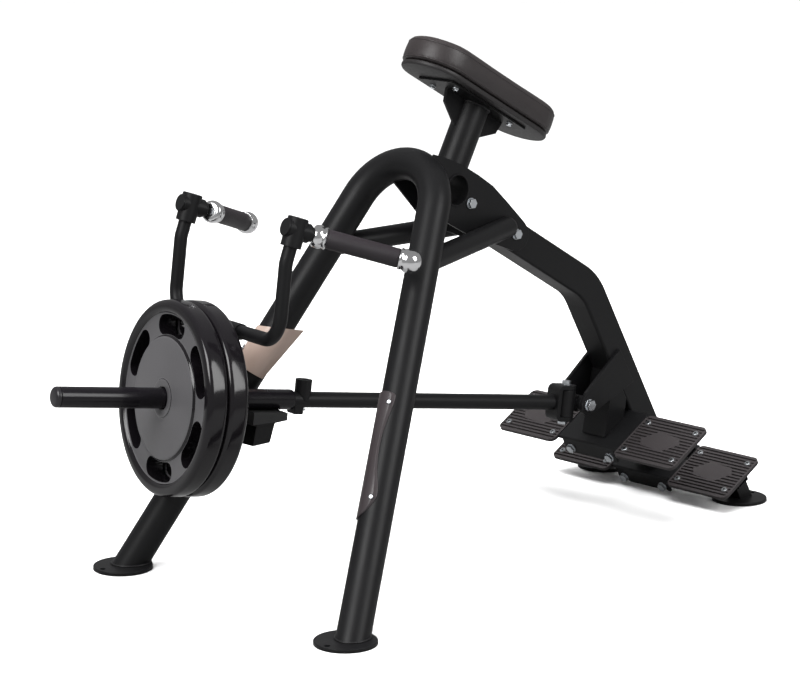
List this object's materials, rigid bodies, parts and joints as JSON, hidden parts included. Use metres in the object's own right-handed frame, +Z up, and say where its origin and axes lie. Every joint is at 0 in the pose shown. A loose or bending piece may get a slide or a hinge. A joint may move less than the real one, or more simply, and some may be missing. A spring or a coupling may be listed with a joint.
{
  "type": "t-bar row machine",
  "caption": "Plate-loaded, chest-supported T-bar row: leaning arch and sloped spine, tilted chest pad, stepped treads, and a pivoting lever with two swivelling handles",
  "frame": {"origin": "on the floor, midway between the two front anchor holes", "axes": "+X to the right-hand side for somebody standing behind the weights and looking at the machine (machine left leg at -X), +Y from the weights toward the foot plates along the length, +Z up"},
  "size_m": [0.9948, 1.846, 1.2346],
  "materials": {
    "frame_black": "satin powder coat",
    "gloss_black": "gloss black",
    "cushion_vinyl": "dark brown-grey upholstery vinyl, satin",
    "board_vinyl": "black upholstery vinyl over a board",
    "tread_plastic": "moulded, ribbed",
    "zinc_steel": "bright zinc plate",
    "grip_rubber": "matt moulded",
    "polished_aluminium": "polished",
    "plate_iron": "black enamel",
    "guard_tan": "satin tan",
    "guard_brown": "satin brown-grey",
    "cap_plastic": "moulded cap",
    "saddle_rubber": "matt",
    "bushing_plastic": "plain"
  },
  "bodies": {
    "frame": {"arch_frame": "frame_black", "chest_cushion": "cushion_vinyl", "foot_plate_lower_left": "tread_plastic", "foot_plate_lower_right": "tread_plastic", "foot_plate_screws": "zinc_steel", "foot_plate_upper_left": "tread_plastic", "foot_plate_upper_right": "tread_plastic", "front_foot_left": "frame_black", "front_foot_right": "frame_black", "guard_screws": "zinc_steel", "hub_bolts": "zinc_steel", "hub_cross_tube": "frame_black", "hub_plate_left": "frame_black", "hub_plate_right": "frame_black", "leg_guard_left": "guard_tan", "leg_guard_right": "guard_brown", "lower_step_beam": "frame_black", "lower_step_channel": "frame_black", "pad_back_board": "board_vinyl", "pad_mounting_plate": "frame_black", "pad_post": "frame_black", "pad_screws": "zinc_steel", "pitch_pin_bolt": "zinc_steel", "pivot_ear_left": "frame_black", "pivot_ear_right": "frame_black", "pivot_pedestal": "frame_black", "rear_foot_left": "frame_black", "rear_foot_right": "frame_black", "rest_arm": "frame_black", "rest_saddle": "saddle_rubber", "spine_tube": "frame_black", "step_flange_bolts": "zinc_steel", "strut_left": "frame_black", "strut_right": "frame_black", "upper_step_beam": "frame_black", "upper_step_channel": "frame_black"},
    "link": {"universal_link": "frame_black", "pitch_bushings": "bushing_plastic"},
    "lever": {"lever_clevis": "frame_black", "yaw_pin_bolt": "zinc_steel", "lever_tube": "frame_black", "accessory_socket": "frame_black", "rack_stop_block": "frame_black", "socket_screw": "zinc_steel", "loading_sleeve": "gloss_black", "sleeve_end_cap": "cap_plastic", "sleeve_stop_collar": "frame_black", "yoke_tube": "frame_black", "yoke_centre_sleeve": "frame_black", "yoke_riser": "frame_black"},
    "left_handle": {"handle_tee_left": "frame_black", "grip_knuckle_left": "polished_aluminium"},
    "right_handle": {"handle_tee_right": "frame_black", "grip_knuckle_right": "polished_aluminium"},
    "left_grip": {"hand_grip_left": "grip_rubber", "grip_end_dome_left": "polished_aluminium"},
    "right_grip": {"hand_grip_right": "grip_rubber", "grip_end_dome_right": "polished_aluminium"},
    "inner_plate": {"weight_plate_inner": "plate_iron"},
    "outer_plate": {"weight_plate_outer": "plate_iron"}
  },
  "joints": [
    {"name": "lever_pitch", "type": "hinge", "parent": "frame", "child": "link", "pos_m": [0, 1.1948, 0.2768], "axis": [-1, 0, 0], "range_deg": [0, 30]},
    {"name": "lever_yaw", "type": "hinge", "parent": "link", "child": "lever", "pos_m": [0, 1.15518, 0.28229], "axis": [0, 0.1373, 0.9905], "range_deg": [0, 12]},
    {"name": "inner_plate_slide", "type": "slide", "parent": "lever", "child": "inner_plate", "axis": [-0.203, -0.9699, 0.1344], "range_m": [0, 0.39]},
    {"name": "outer_plate_slide", "type": "slide", "parent": "inner_plate", "child": "outer_plate", "axis": [-0.203, -0.9699, 0.1344], "range_m": [0, 0.34]},
    {"name": "left_handle_swivel", "type": "hinge", "parent": "lever", "child": "left_handle", "pos_m": [-0.44001, 0.32201, 0.82278], "axis": [-0.0422, -0.3359, -0.9409], "range_deg": [0, 30]},
    {"name": "left_grip_spin", "type": "hinge", "parent": "left_handle", "child": "left_grip", "pos_m": [-0.42721, 0.38136, 0.80101], "axis": [-0.4141, 0.8667, -0.278], "continuous": true},
    {"name": "right_handle_swivel", "type": "hinge", "parent": "lever", "child": "right_handle", "pos_m": [0.04625, 0.22218, 0.83661], "axis": [0.0422, 0.3359, 0.9409], "range_deg": [0, 8]},
    {"name": "right_grip_spin", "type": "hinge", "parent": "right_handle", "child": "right_grip", "pos_m": [0.05906, 0.28153, 0.81485], "axis": [0.7364, 0.6305, -0.2453], "continuous": true}
  ],
  "couplings": [
    {"joint": "lever_yaw", "follows": "lever_pitch", "ratio": 0.4}
  ]
}
